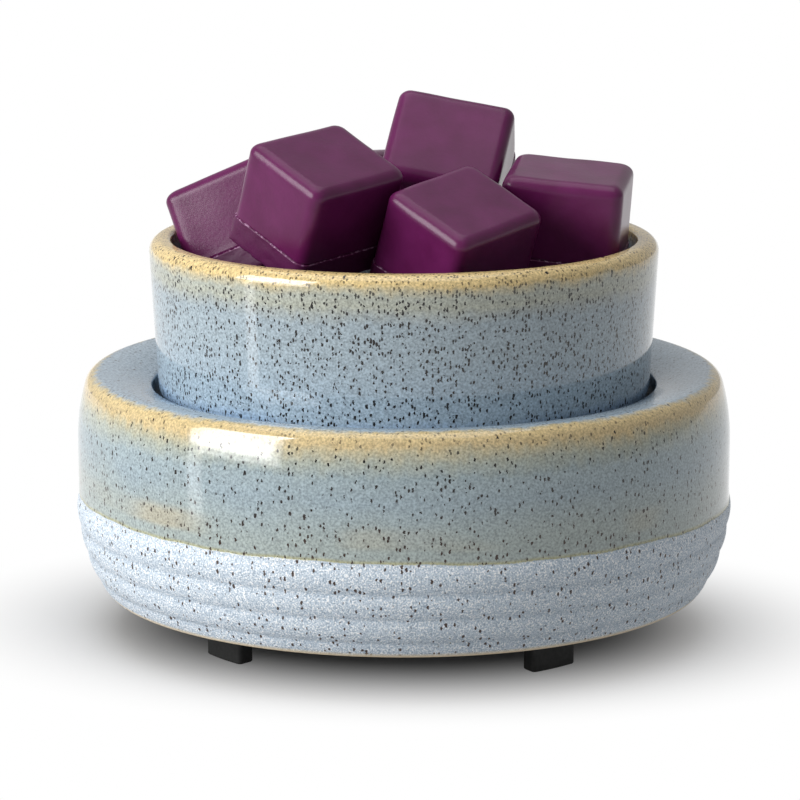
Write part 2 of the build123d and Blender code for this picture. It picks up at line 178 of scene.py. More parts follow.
def carried_round(section, columns):
    """A grid for a section of (radius, height) turned about Z: x = r cos t, y = r sin t, z = h, t once round."""
    turn = np.linspace(0, 2 * np.pi, columns, endpoint=False)
    radius, height = section[:, :1], section[:, 1:]
    level = np.broadcast_to(height, (len(section), columns))
    return np.stack([radius * np.cos(turn), radius * np.sin(turn), level], axis=-1)


print("middle of a quarter bow of 10 mm:", bow((10, 0), (0, 10), 10.0, 3)[1].round(2).tolist())

# %% [markdown]
# ## The stoneware body
#
# The body is thrown or jiggered clay: a rough band of four soft ribs below, a glazed wall whose shoulder leans in, a
# rolled crest and a shallow saucer that falls to the hole for the heater. Its section is drawn once, up the outside
# and down the inside, and carried round the axis. A section of arcs beats a subdivided cylinder here, because each
# rib and the crest then have the radius that they have on the pot.

# %% Ribs, shoulder and crest
band_top, wall_radius = 28.4, 67.0
foot_edge = (61.7, 9.4)
rib_radius, belly_radius = 7.0, 36.707
groove_heights = np.array([12.6, 17.7, 22.8])
groove_radii = wall_radius - belly_radius + np.sqrt(belly_radius**2 - (band_top - groove_heights) ** 2)
rib_ends = [foot_edge, *zip(groove_radii, groove_heights), (wall_radius, band_top)]
ribs = np.concatenate([bow(low, high, rib_radius, 15)[:-1] for low, high in zip(rib_ends, rib_ends[1:])])

crest_top, crest_round, crest_end = 53.8, 3.0, np.radians(92)
shoulder_round, shoulder_turn = 42.0, np.radians(16)
lead = (shoulder_round - crest_round) * np.array([np.cos(shoulder_turn), np.sin(shoulder_turn)])
crest_middle = np.array([wall_radius - shoulder_round + lead[0], crest_top - crest_round])
shoulder = arc(crest_middle - lead, shoulder_round, 0, shoulder_turn, 16)
crest = arc(crest_middle, crest_round, shoulder_turn, crest_end, 24)
wall = straight((wall_radius, band_top), shoulder[0], 20)
print("groove radii:", groove_radii.round(1).tolist(), "crest starts at", shoulder[-1].round(1).tolist())

# %% [markdown]
# The saucer leaves the crest without a kink and ends at the hole's edge. Only one circle does both. Its middle lies
# square to the crest's last direction, and its radius is the square of the way from crest to hole, over twice that
# way's share towards the middle. Below the hole's edge a ledge carries the heater, and the inside follows the wall
# down to a rebate for the base.

# %% Saucer, hole and inside
hole_edge = np.array([51.6, 51.2])
along = np.array([-np.sin(crest_end), np.cos(crest_end)])
across = np.array([-along[1], along[0]])
fall = hole_edge - crest[-1]
saucer_radius = (fall @ fall) / (2 * (fall @ across))
saucer_middle = crest[-1] + across * saucer_radius
first = angle_of(crest[-1] - saucer_middle)
last = first + half_turn(angle_of(hole_edge - saucer_middle) - first)
saucer = arc(saucer_middle, abs(saucer_radius), first, last, 24)

ledge_top, ledge_bottom, ledge_bore = 41.9, 37.4, 47.6
inner_radius, deck_start, deck_end = 61.5, 56.55, 45.7
rebate_radius, rebate_bore, rebate_top = 59.5, 57.15, 12.8
inside = rounded(
    [
        (*saucer[-4], 0.0), (*hole_edge, 1.0), (hole_edge[0], ledge_top, 0.3), (ledge_bore, ledge_top, 0.4),
        (ledge_bore, ledge_bottom, 0.4), (deck_start, ledge_bottom, 0.6), (inner_radius, deck_end, 1.5),
        (inner_radius, band_top, 3.0), (rebate_bore, rebate_top, 0.3), (rebate_radius, rebate_top, 0.3),
        (rebate_radius, foot_edge[1], 0.4), (*foot_edge, 0.7), (*ribs[4], 0.0),
    ],
    2.0,
)
body_section = np.concatenate([ribs[4:], wall[:-1], shoulder[:-1], crest[:-1], saucer[:-4], inside[:-1]])
print("points in the body's section:", len(body_section), "saucer radius:", round(float(abs(saucer_radius)), 1))

# %% [markdown]
# The cord enters at the back through a grommet, which sits in a flat ground into the round wall. A boolean with a
# stepped plug cuts the flat and the hole, just as a grinder and a drill would. Bending the grid's columns round the
# hole would do it too, but would spoil their even spacing.

# %% The body and its cord hole
inlet_height, inlet_radius, seat_radius = 20.3, 4.4, 6.6
seat_inside, seat_outside = 58.095, 63.895


def plug_along_y(section, columns):
    """A grid for a section of (radius, y) turned about the line through the cord hole, parallel to Y.

    The columns start half a step round, so that none lies in the plane of a column of the body.
    """
    turn = np.linspace(0, 2 * np.pi, columns, endpoint=False) + np.pi / columns
    radius, depth = section[:, :1], section[:, 1:]
    place = np.broadcast_to(depth, (len(section), columns))
    return np.stack([radius * np.sin(turn), place, inlet_height + radius * np.cos(turn)], axis=-1)


plug = np.array([
    (seat_radius, 50.0), (seat_radius, seat_inside), (inlet_radius, seat_inside),
    (inlet_radius, seat_outside), (seat_radius, seat_outside), (seat_radius, 75.0),
])
body = piece_of_mesh("stoneware_body", mesh_of_grid("stoneware_body", carried_round(body_section, 360), True))
cutter = piece_of_mesh("cord_hole", mesh_of_grid("cord_hole", plug_along_y(plug, 48), False))
cut = body.modifiers.new("cord hole", "BOOLEAN")
cut.object = cutter
cut.solver = "EXACT"
bpy.context.view_layer.update()
bored = bpy.data.meshes.new_from_object(body.evaluated_get(bpy.context.evaluated_depsgraph_get()))
body.modifiers.clear()
body.data = bored
bpy.data.objects.remove(cutter)
body.data.set_sharp_from_angle(angle=np.radians(38))
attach(body, "base")
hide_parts("body_shell")
print("body faces with its hole:", len(body.data.polygons))

# %% [markdown]
# ## The dish
#
# A plain cup with a thick rolled rim and a rounded foot, turned from one section in the same way. A Screw modifier
# could turn it too, and the grid is used again because it is already there. The section stops short of the axis, and
# a small flat disc closes it there, below and inside, so no sliver faces meet in a pole.

# %% The dish
dish_bottom, dish_floor, dish_rim = 45.9, 49.8, 81.3
disc_radius = 4.0
dish_section = rounded(
    [
        (disc_radius, dish_bottom, 0.0), (50.1, dish_bottom, 5.5), (52.05, dish_rim, 2.6), (47.4, dish_rim, 0.9),
        (46.9, dish_floor, 4.0), (disc_radius, dish_floor, 0.0),
    ],
    0.6,
)
dish = piece_of_mesh("stoneware_dish", mesh_of_grid("stoneware_dish", carried_round(dish_section, 320), False))
dish.data.set_sharp_from_angle(angle=np.radians(50))
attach(dish, "dish")
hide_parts("wax_dish")
print("points in the dish's section:", len(dish_section))

# %% [markdown]
# ## The wax melts
#
# Each melt is a block cast in a pocket of a tray. Its top edge is rounded by the pocket's floor, and its open side
# keeps a thin slab of the web that joined it to its neighbours, a touch proud and rough where it was snapped off.
# A bevelled cube could give the block but not the web's step, so it is a stack of rounded rectangles. A slow wave
# leaves the faces not quite flat, as wax shrinks while it sets, and a quick wave breaks up the web.

# %% Outlines and heights of a melt
melt_width, melt_length, melt_height = 21.5, 24.5, 22.0
web_thickness, web_proud, web_round, web_lip = 5.6, 0.14, 0.6, 0.2
crown_round, innermost = 2.4, 9.6
half_height = melt_height / 2
web_top = -half_height + web_thickness


def outline(half_width, half_length, corner, count):
    """Rounded rectangles, one a row: an inner rectangle's side plus corner times a direction that turns at its ends.

    On each of the four sides the place runs from -1 to 1; its last 3 tenths turn the direction by up to 45 degrees.
    """
    place = np.linspace(-1, 1, count, endpoint=False) + 1 / count
    on_side = np.clip(place / 0.7, -1, 1)
    lean = np.radians(45) * np.sign(place) * np.clip((abs(place) - 0.7) / 0.3, 0, 1)
    out, side = np.cos(lean), np.sin(lean)
    corner = corner[:, None]
    inner_x, inner_y = half_width[:, None] - corner, half_length[:, None] - corner
    right = np.stack([inner_x + corner * out, inner_y * on_side + corner * side], axis=-1)
    back = np.stack([-inner_x * on_side - corner * side, inner_y + corner * out], axis=-1)
    return np.concatenate([right, back, -right, -back], axis=1)


def melt_rows():
    """The stack, from the middle of the open side, round the web, up the wall and in over the top.

    Returns the height, the inset from the wall and the corner radius of each row.
    """
    edge = np.radians(np.linspace(0, 90, 5))
    lip = np.radians(np.linspace(0, 90, 4))
    crown = np.radians(np.linspace(0, 90, 12))
    height = np.concatenate([
        np.full(8, -half_height), -half_height + web_round * (1 - np.cos(edge)),
        np.linspace(-half_height + 2 * web_round, web_top - 2 * web_lip, 7), web_top - web_lip * (1 - np.sin(lip)),
        [web_top + 0.02], np.linspace(web_top + 0.5, half_height - crown_round - 0.4, 12),
        half_height - crown_round * (1 - np.sin(crown)), np.full(8, half_height),
    ])
    inset = np.concatenate([
        np.linspace(innermost, 0.9, 8), -web_proud + web_round * (1 - np.sin(edge)),
        np.full(7, -web_proud), -web_proud + web_lip * (1 - np.cos(lip)),
        np.zeros(13), crown_round * (1 - np.cos(crown)), np.linspace(crown_round + 0.5, innermost, 8),
    ])
    corner = np.concatenate([
        np.full(8, 0.6), np.full(5, 2.0), np.full(11, 2.3), [2.4], np.full(12, 2.5),
        np.linspace(2.5, 1.4, 12), np.full(8, 0.6),
    ])
    return height, inset, corner


print("rows in a melt:", len(melt_rows()[0]))

# %% Waves on a melt
def waves(points, rng, length, count):
    """A sum of plane sine waves of about that length in mm, each in a random direction; about 1 high at most."""
    ways = rng.normal(size=(count, 3))
    ways *= (2 * np.pi / (length * rng.uniform(0.7, 1.4, count)) / np.linalg.norm(ways, axis=1))[:, None]
    return np.sin(points @ ways.T + rng.uniform(0, 6.28, count)).sum(axis=-1) / count**0.5 / 1.5


def melt_grid(seed):
    """A melt's points about its middle: the stack of outlines, pushed along the way out by the waves.

    The slow wave is a tenth of a millimetre high. The quick one takes over below the web's top. Both are lowered a
    little, so that the wax stays within its solid.
    """
    height, inset, corner = melt_rows()
    flat = outline(melt_width / 2 - inset, melt_length / 2 - inset, corner, 24)
    points = np.concatenate([flat, np.broadcast_to(height[:, None, None], flat.shape[:2] + (1,))], axis=-1)
    rng = np.random.default_rng(seed)
    out = points / np.linalg.norm(points, axis=-1, keepdims=True)
    web = np.clip((web_top + 0.3 - points[..., 2:]) / 0.4, 0, 1)
    slow = 0.1 * waves(points, rng, 13.0, 6) - 0.06
    quick = 0.12 * waves(points, rng, 2.2, 9) - 0.07
    return points + out * (slow[..., None] * (1 - web) + quick[..., None] * web)


widest = np.abs(melt_grid(0)).reshape(-1, 3).max(axis=0) * 2
print("first melt in mm:", widest.round(2).tolist())

# %% [markdown]
# The pile in the photograph: six melts show above the rim, and four below them carry them. Each has the place of its
# solid: the middle, and the turns about Z, then about its own Y and its own X.

# %% The pile of melts
pile = {
    "bed_right": ((27.81, 3.48, 60.95), (24.0, 90.0, 0.0)),
    "bed_left": ((-20.58, -21.19, 62.45), (9.7, 0.0, 90.0)),
    "bed_front": ((5.635, -9.163, 60.95), (-67.2, -90.0, 0.0)),
    "bed_back": ((6.1, 25.36, 60.9), (-76.7, 0.0, 0.0)),
    "front_left": ((-14.58, -25.58, 91.09), (-38.3, 24.0, 6.1)),
    "front": ((12.52, -24.84, 82.71), (-34.5, 24.5, 9.7)),
    "top": ((7.96, 12.52, 93.78), (-104.8, 49.6, -14.2)),
    "right": ((33.05, -3.53, 84.93), (-94.8, 7.3, -4.5)),
    "left": ((-32.49, 2.47, 82.23), (78.3, 12.7, -24.7)),
    "back": ((-17.86, 23.28, 83.99), (67.0, 3.6, -4.2)),
}


def turned_by(turns):
    """The matrix of turns about Z, then the new Y, then the new X, in degrees."""
    (cz, cy, cx), (sz, sy, sx) = np.cos(np.radians(turns)), np.sin(np.radians(turns))
    about_z = np.array([[cz, -sz, 0], [sz, cz, 0], [0, 0, 1]])
    about_y = np.array([[cy, 0, sy], [0, 1, 0], [-sy, 0, cy]])
    about_x = np.array([[1, 0, 0], [0, cx, -sx], [0, sx, cx]])
    return about_z @ about_y @ about_x


melts = {}
for seed, (name, (middle, turns)) in enumerate(pile.items()):
    grid = melt_grid(seed)
    placed = grid @ turned_by(turns).T + np.array(middle)
    melt = piece_of_mesh(f"melt_{name}", mesh_of_grid(f"melt_{name}", placed, False))
    web = melt.data.attributes.new("web", "FLOAT", "POINT")
    web.data.foreach_set("value", (grid[..., 2].ravel() + half_height))
    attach(melt, "wax_bed" if name.startswith("bed") else f"melt_{name}")
    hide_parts(f"wax_melt_{name}")
    melts[name] = melt
print("melts:", len(melts))

# %% [markdown]
# ## Notes on the surface for the glazes
#
# A glaze breaks to tan where it runs thin over an edge, pools where it runs thick, and stops at a wavy line where the
# potter wiped it off. Those follow the pot, not the room, so each vertex gets plain numbers in millimetres: how far
# it is above the glaze line, how far from the crest or the rim, and whether it is bare clay. The materials read them
# as attributes. Painting the zones by hand would tie them to one picture size; numbers stay sharp from any distance.

# %% Measure the body
def places_of(mesh):
    """The vertices of a mesh as radius, angle and height in mm and radians."""
    flat = np.empty(len(mesh.vertices) * 3)
    mesh.vertices.foreach_get("co", flat)
    x, y, z = flat.reshape(-1, 3).T / MM
    return np.hypot(x, y), np.arctan2(y, x), z


def note(mesh, name, values):
    """Write one number for each vertex into the mesh, as an attribute of that name."""
    values = np.ascontiguousarray(values, dtype=np.float32)
    mesh.attributes.new(name, "FLOAT", "POINT").data.foreach_set("value", values)


# The line leans, because the pot was held at a slant, and wavers in three lengths
radius, angle, height = places_of(body.data)
turn = angle - np.radians(5.5)
line_height = 28.5 - 0.75 * np.cos(turn) - 0.4 * np.sin(turn)
line_height += 0.14 * np.sin(7 * turn + 1.0) + 0.1 * np.sin(17 * turn + 2.2) + 0.06 * np.sin(41 * turn)
note(body.data, "above_line", np.clip(height - line_height, -20, 25))

# Along the surface from the crest's top: round the crest, then straight down; on the saucer straight in
out, up = radius - crest_middle[0], height - crest_middle[1]
crest_start = shoulder[-1, 1]
crest_run = crest_round * (np.pi / 2 - shoulder_turn)
over_crest = np.where(height > crest_start, crest_round * np.arctan2(out, up), crest_run + crest_start - height)
note(body.data, "from_crest", np.clip(np.where(out > 0, over_crest, out), -14, 30))

# How near each vertex is to a groove: the mask for the painted shade along the grooves
depth = np.abs(height[:, None] - groove_heights).min(axis=1)
note(body.data, "painted_groove_shade", np.exp(-((depth / 0.7) ** 2)))
outer = (radius > inner_radius + 0.05) | (height > deck_end - 0.7)
note(body.data, "bare", 1.0 - outer * np.clip((height - foot_edge[1] - 0.5) / 0.5, 0, 1))
print("glaze line runs from", round(float(line_height.min()), 1), "to", round(float(line_height.max()), 1), "mm")

# %% Measure the dish
radius, angle, height = places_of(dish.data)
rim_middle = 49.7
on_the_floor = (radius < 46.0) & (height < dish_floor + 2.2)
from_rim = np.where(radius > rim_middle, dish_rim - height, height - dish_rim)
from_rim = np.where(on_the_floor, -32.0, from_rim)
note(dish.data, "from_rim", from_rim)
note(dish.data, "bare", np.clip((dish_bottom + 0.25 - height) / 0.15, 0, 1))
print("the dish's wall falls", round(float(from_rim.max()), 1), "mm below its rim")

# %% [markdown]
# ## Colours and nodes
#
# Colours are written as the hex values that a screen shows. Blender works with light, so one function takes the screen
# curve off. A second small function adds a node, sets it and links it, which keeps each material below to the few
# lines that matter. Blender's unit is a metre, so a pattern with a scale of 1000 / d has a grain of d mm.

# %% Helpers for materials
def linear(hex_colour):
    """A screen colour such as 8FA9C4 as linear red, green, blue and alpha."""
    value = np.array([int(hex_colour[i : i + 2], 16) for i in (0, 2, 4)]) / 255
    return (*np.where(value <= 0.04045, value / 12.92, ((value + 0.055) / 1.055) ** 2.4).tolist(), 1.0)


def add(tree, kind, inputs=(), stops=(), **settings):
    """Add a node of a kind with its settings; each input is a value or another node's output, stops fill a ramp."""
    node = tree.nodes.new(kind)
    for key, value in settings.items():
        setattr(node, key, value)
    for key, value in dict(inputs).items():
        if isinstance(value, bpy.types.NodeSocket):
            tree.links.new(value, node.inputs[key])
        else:
            node.inputs[key].default_value = value
    for count, (position, colour) in enumerate(stops):
        stop = node.color_ramp.elements[count] if count < 2 else node.color_ramp.elements.new(position)
        stop.position = position
        stop.color = linear(colour)
    return node


def new_material(name):
    """A material with an empty tree, and the tree to fill."""
    material = bpy.data.materials.new(name)
    material.use_nodes = True
    material.node_tree.nodes.clear()
    return material, material.node_tree


def wear(piece, material):
    """Give a piece one material, in its first slot."""
    piece.data.materials.clear()
    piece.data.materials.append(material)


print("a screen's middle grey as light:", round(linear("808080")[0], 3))

# %% [markdown]
# ## Specks
#
# Iron in the clay bleeds through the glaze as dark specks of a quarter to three quarters of a millimetre. A cell
# pattern with random seeds does that: each cell holds one seed and a random number, and the number decides whether
# the speck is there and how large it is. The places are stretched upright first, because a glaze runs a little as it
# melts, and pushed about by a fine noise, so that no speck is a clean disc.

# %% Places and specks
def glaze_places(tree):
    """The piece's own coordinates, the same drawn out upright, and those pushed about by up to half a millimetre."""
    plain = add(tree, "ShaderNodeTexCoord").outputs["Object"]
    upright = add(tree, "ShaderNodeMapping", {"Vector": plain, "Scale": (1, 1, 0.6)}).outputs[0]
    wobble = add(tree, "ShaderNodeTexNoise", {"Vector": plain, "Scale": 1000 / 0.4}).outputs["Color"]
    uneven = add(
        tree, "ShaderNodeVectorMath", {0: wobble, 1: (0.5 * MM,) * 3, 2: upright}, operation="MULTIPLY_ADD"
    ).outputs[0]
    return plain, upright, uneven


def specks(tree, place, cell, share, largest):
    """How dark a speck is, 0 to 1: cells of that size in mm, the share without specks, the largest radius in mm."""
    cells = add(tree, "ShaderNodeTexVoronoi", {"Vector": place, "Scale": 1000 / cell}, feature="F1").outputs
    chance = add(tree, "ShaderNodeSeparateColor", {0: cells["Color"]}).outputs[0]
    size = add(
        tree, "ShaderNodeMapRange", {0: chance, 1: share, 2: share + 0.3, 3: -0.1, 4: largest / cell}
    ).outputs[0]
    inside = add(tree, "ShaderNodeMath", {0: size, 1: cells["Distance"]}, operation="SUBTRACT").outputs[0]
    soft = 0.02 / cell
    return add(tree, "ShaderNodeMapRange", {0: inside, 1: -soft, 2: soft}).outputs[0]


iron_black, iron_brown = linear("171412"), linear("3A2216")
glaze_ior = 1.52
print("specks are nearly black:", [round(value, 3) for value in iron_black[:3]])

# %% [markdown]
# ## Glaze and rough band of the body
#
# Stoneware glaze is a thin coat of coloured glass over fired clay. It gives the eye a sharp gloss over a soft, mottled
# colour. Slow clouds, short upright runs and a fine grain are made first, because they break up every edge of colour
# that follows.

# %% What the body's glaze starts from
body_glaze, tree = new_material("speckled stoneware glaze over a rough slip band")
plain, upright, uneven = glaze_places(tree)
above_line = add(tree, "ShaderNodeAttribute", attribute_name="above_line").outputs["Fac"]
from_crest = add(tree, "ShaderNodeAttribute", attribute_name="from_crest").outputs["Fac"]
painted_groove_shade = add(tree, "ShaderNodeAttribute", attribute_name="painted_groove_shade").outputs["Fac"]
bare = add(tree, "ShaderNodeAttribute", attribute_name="bare").outputs["Fac"]
clouds = add(tree, "ShaderNodeTexNoise", {"Vector": plain, "Scale": 1000 / 22, "Detail": 2.0}).outputs[0]
runs = add(tree, "ShaderNodeTexNoise", {"Vector": upright, "Scale": 1000 / 2.0, "Detail": 3.0}).outputs[0]
grain = add(tree, "ShaderNodeTexNoise", {"Vector": plain, "Scale": 1000 / 0.45, "Detail": 2.0}).outputs[0]
print("nodes that the glaze starts from:", len(tree.nodes))

# %% [markdown]
# Over the crest the glaze runs thin, and the clay shows through it as tan. Below that it is beige, then grey-blue. A
# ramp over the millimetres from the crest gives the colours, and runs and clouds push its edges up and down.

# %% Thin over the crest
ragged = add(tree, "ShaderNodeMath", {0: runs, 1: 3.0, 2: -1.5}, operation="MULTIPLY_ADD").outputs[0]
cloudy = add(tree, "ShaderNodeMath", {0: clouds, 1: 3.0, 2: -1.5}, operation="MULTIPLY_ADD").outputs[0]
ragged = add(tree, "ShaderNodeMath", {0: ragged, 1: cloudy}, operation="ADD").outputs[0]
crest_place = add(tree, "ShaderNodeMath", {0: from_crest, 1: ragged}, operation="ADD").outputs[0]
crest_share = add(tree, "ShaderNodeMapRange", {0: crest_place, 1: -12.0, 2: 20.0}).outputs[0]
upper = add(
    tree, "ShaderNodeValToRGB", {0: crest_share},
    stops=[(0.0, "9DADB9"), (1.0, "9AA9AE"), (0.375, "9BABB8"), (0.41, "BBAE8C"), (0.43, "CBB584"), (0.5, "C9B488"),
           (0.54, "BAB193"), (0.60, "A6AB9F"), (0.70, "97A6AB"), (0.84, "95A5AD")],
).outputs[0]
print("nodes with the crest:", len(tree.nodes))

# %% [markdown]
# Above its line the glaze piles up. There it is olive, with a few tan patches and a darker lip at the very edge. The
# fine grain then makes the whole coat a little lighter and darker from point to point.

# %% Pools above the line
pool_place = add(tree, "ShaderNodeMath", {0: clouds, 1: 16.0, 2: -8.0}, operation="MULTIPLY_ADD").outputs[0]
pool_place = add(tree, "ShaderNodeMath", {0: above_line, 1: pool_place}, operation="ADD").outputs[0]
pool_share = add(tree, "ShaderNodeMapRange", {0: pool_place, 1: 12.0, 2: 3.0, 3: 0.0, 4: 0.7}).outputs[0]
glazed = add(tree, "ShaderNodeMix", {0: pool_share, 6: upper, 7: linear("9FA8A2")}, data_type="RGBA").outputs[2]
patch = add(tree, "ShaderNodeTexNoise", {"Vector": plain, "Scale": 1000 / 30, "Detail": 1.0}).outputs[0]
patch = add(tree, "ShaderNodeMapRange", {0: patch, 1: 0.55, 2: 0.75, 3: 0.0, 4: 0.45}).outputs[0]
for start, end in ((8.0, 5.5), (2.0, 3.5)):
    fade = add(
        tree, "ShaderNodeMapRange", {0: above_line, 1: start, 2: end}, interpolation_type="SMOOTHSTEP"
    ).outputs[0]
    patch = add(tree, "ShaderNodeMath", {0: patch, 1: fade}, operation="MULTIPLY").outputs[0]
glazed = add(tree, "ShaderNodeMix", {0: patch, 6: glazed, 7: linear("BBA880")}, data_type="RGBA").outputs[2]
lip_share = add(tree, "ShaderNodeMapRange", {0: above_line, 1: 0.8, 2: 0.2, 3: 0.0, 4: 0.8}).outputs[0]
glazed = add(tree, "ShaderNodeMix", {0: lip_share, 6: glazed, 7: linear("A9A578")}, data_type="RGBA").outputs[2]
mottle = add(tree, "ShaderNodeMapRange", {0: grain, 1: 0.33, 2: 0.67, 3: 0.72, 4: 1.28}).outputs[0]
glazed = add(
    tree, "ShaderNodeMix", {0: 1.0, 6: glazed, 7: mottle}, data_type="RGBA", blend_type="MULTIPLY"
).outputs[2]
print("nodes with the pools:", len(tree.nodes))

# %% [markdown]
# The rough band is a coat of pale slip with white grains in it; painted shade darkens its grooves, where the ribs
# fold in. The real grit is finer than the picture can show, so it is drawn with a grain of a third of a millimetre.
# The same grit frays the line where the glaze ends.

# %% The rough band
grit = add(
    tree, "ShaderNodeTexNoise", {"Vector": plain, "Scale": 1000 / 0.33, "Detail": 1.0, "Roughness": 0.6}
).outputs[0]
rough_band = add(
    tree, "ShaderNodeValToRGB", {0: grit},
    stops=[(0.3, "93A4B4"), (0.63, "FDFEFF"), (0.44, "BECBD8"), (0.56, "CBD7E2")],
).outputs[0]
# Painted shade: the grooves darken by up to a fifth towards a deeper grey-blue
painted_groove_shade_share = add(tree, "ShaderNodeMath", {0: painted_groove_shade, 1: 0.22}, operation="MULTIPLY").outputs[0]
rough_band = add(
    tree, "ShaderNodeMix", {0: painted_groove_shade_share, 6: rough_band, 7: linear("7F92A3")}, data_type="RGBA"
).outputs[2]
ragged_line = add(tree, "ShaderNodeMath", {0: grit, 1: 0.6, 2: -0.3}, operation="MULTIPLY_ADD").outputs[0]
ragged_line = add(tree, "ShaderNodeMath", {0: above_line, 1: ragged_line}, operation="ADD").outputs[0]
glaze_share = add(tree, "ShaderNodeMapRange", {0: ragged_line, 1: -0.12, 2: 0.12}).outputs[0]
skin = add(tree, "ShaderNodeMix", {0: glaze_share, 6: rough_band, 7: glazed}, data_type="RGBA").outputs[2]
print("nodes with the band:", len(tree.nodes))

# %% [markdown]
# Specks lie over both coats, many small ones and a few large ones, fewer on the band and fainter on the tan crest.
# They burn browner where the glaze is olive. The foot and the inside of the pot are bare fired clay, a warm cream.

# %% Specks and bare clay
small_specks = specks(tree, uneven, 0.76, 0.45, 0.24)
faint = add(tree, "ShaderNodeMapRange", {0: from_crest, 1: 3.0, 2: 6.5, 3: 0.6, 4: 1.0}).outputs[0]
small_specks = add(tree, "ShaderNodeMath", {0: small_specks, 1: faint}, operation="MULTIPLY").outputs[0]
large_specks = specks(tree, uneven, 2.4, 0.4, 0.31)
speckle = add(tree, "ShaderNodeMath", {0: small_specks, 1: large_specks}, operation="MAXIMUM").outputs[0]
band_specks = specks(tree, uneven, 0.8, 0.55, 0.27)
speckle = add(tree, "ShaderNodeMix", {0: glaze_share, 2: band_specks, 3: speckle}, data_type="FLOAT").outputs[0]
iron = add(tree, "ShaderNodeMix", {0: pool_share, 6: iron_black, 7: iron_brown}, data_type="RGBA").outputs[2]
skin = add(tree, "ShaderNodeMix", {0: speckle, 6: skin, 7: iron}, data_type="RGBA").outputs[2]
clay = add(tree, "ShaderNodeValToRGB", {0: grain}, stops=[(0.3, "E6D2AE"), (0.7, "F2E2C6")]).outputs[0]
skin = add(tree, "ShaderNodeMix", {0: bare, 6: skin, 7: clay}, data_type="RGBA").outputs[2]
print("nodes with the specks:", len(tree.nodes))

# %% [markdown]
# Glass above the line, grit below: the roughness and the bump change with the same share as the colour, so the gloss
# ends where the glaze does. Grit of 0.18 mm is too low for geometry, so a bump stands in for it; the ribs themselves
# are in the mesh.

# %% Gloss and relief of the body
glassy = add(tree, "ShaderNodeMath", {0: glaze_share, 1: bare}, operation="SUBTRACT", use_clamp=True).outputs[0]
roughness = add(tree, "ShaderNodeMapRange", {0: glassy, 3: 0.6, 4: 0.08}).outputs[0]
relief = add(tree, "ShaderNodeMapRange", {0: glassy, 3: 1.0, 4: 0.02}).outputs[0]
relief = add(tree, "ShaderNodeMath", {0: relief, 1: grit}, operation="MULTIPLY").outputs[0]
bump = add(tree, "ShaderNodeBump", {"Strength": 1.0, "Distance": 0.18 * MM, "Height": relief}).outputs[0]
shader = add(
    tree, "ShaderNodeBsdfPrincipled", {"Base Color": skin, "Roughness": roughness, "IOR": glaze_ior, "Normal": bump}
).outputs[0]
add(tree, "ShaderNodeOutputMaterial", {"Surface": shader})
wear(body, body_glaze)
print("body glaze nodes:", len(tree.nodes))

# %% [markdown]
# ## Glaze of the dish
#
# The dish has the same glaze without a rough band. It is tan over the rim, grey-blue down the wall and clear blue
# where it gathers above the foot, with a thin brown line at the end. Below that line the foot is bare clay.

# %% Colour of the dish from rim to foot
dish_glaze, tree = new_material("speckled stoneware glaze on the dish")
plain, upright, uneven = glaze_places(tree)
from_rim = add(tree, "ShaderNodeAttribute", attribute_name="from_rim").outputs["Fac"]
bare = add(tree, "ShaderNodeAttribute", attribute_name="bare").outputs["Fac"]
clouds = add(tree, "ShaderNodeTexNoise", {"Vector": plain, "Scale": 1000 / 25, "Detail": 2.0}).outputs[0]
runs = add(tree, "ShaderNodeTexNoise", {"Vector": upright, "Scale": 1000 / 2.2, "Detail": 3.0}).outputs[0]
grain = add(tree, "ShaderNodeTexNoise", {"Vector": plain, "Scale": 1000 / 0.45, "Detail": 2.0}).outputs[0]
ragged = add(tree, "ShaderNodeMath", {0: runs, 1: 2.4, 2: -1.2}, operation="MULTIPLY_ADD").outputs[0]
cloudy = add(tree, "ShaderNodeMath", {0: clouds, 1: 4.0, 2: -2.0}, operation="MULTIPLY_ADD").outputs[0]
ragged = add(tree, "ShaderNodeMath", {0: ragged, 1: cloudy}, operation="ADD").outputs[0]
rim_place = add(tree, "ShaderNodeMath", {0: from_rim, 1: ragged}, operation="ADD").outputs[0]
rim_share = add(tree, "ShaderNodeMapRange", {0: rim_place, 1: -4.0, 2: 36.0}).outputs[0]
glazed = add(
    tree, "ShaderNodeValToRGB", {0: rim_share},
    stops=[(0.0, "A2AFB5"), (1.0, "8CAAD0"), (0.06, "D6BD85"), (0.145, "D4BC87"), (0.17, "BDB496"), (0.205, "ABAFA4"),
           (0.25, "AAADA0"), (0.29, "A1A9A8"), (0.34, "9BA9B1"), (0.5, "9DACB5"), (0.8, "9AADBC"), (0.9, "8AA8CB")],
).outputs[0]
foot_line = add(tree, "ShaderNodeMapRange", {0: from_rim, 1: 33.6, 2: 34.6}).outputs[0]
glazed = add(tree, "ShaderNodeMix", {0: foot_line, 6: glazed, 7: linear("A39468")}, data_type="RGBA").outputs[2]
mottle = add(tree, "ShaderNodeMapRange", {0: grain, 1: 0.33, 2: 0.67, 3: 0.7, 4: 1.3}).outputs[0]
glazed = add(
    tree, "ShaderNodeMix", {0: 1.0, 6: glazed, 7: mottle}, data_type="RGBA", blend_type="MULTIPLY"
).outputs[2]
print("nodes of the dish's colour:", len(tree.nodes))

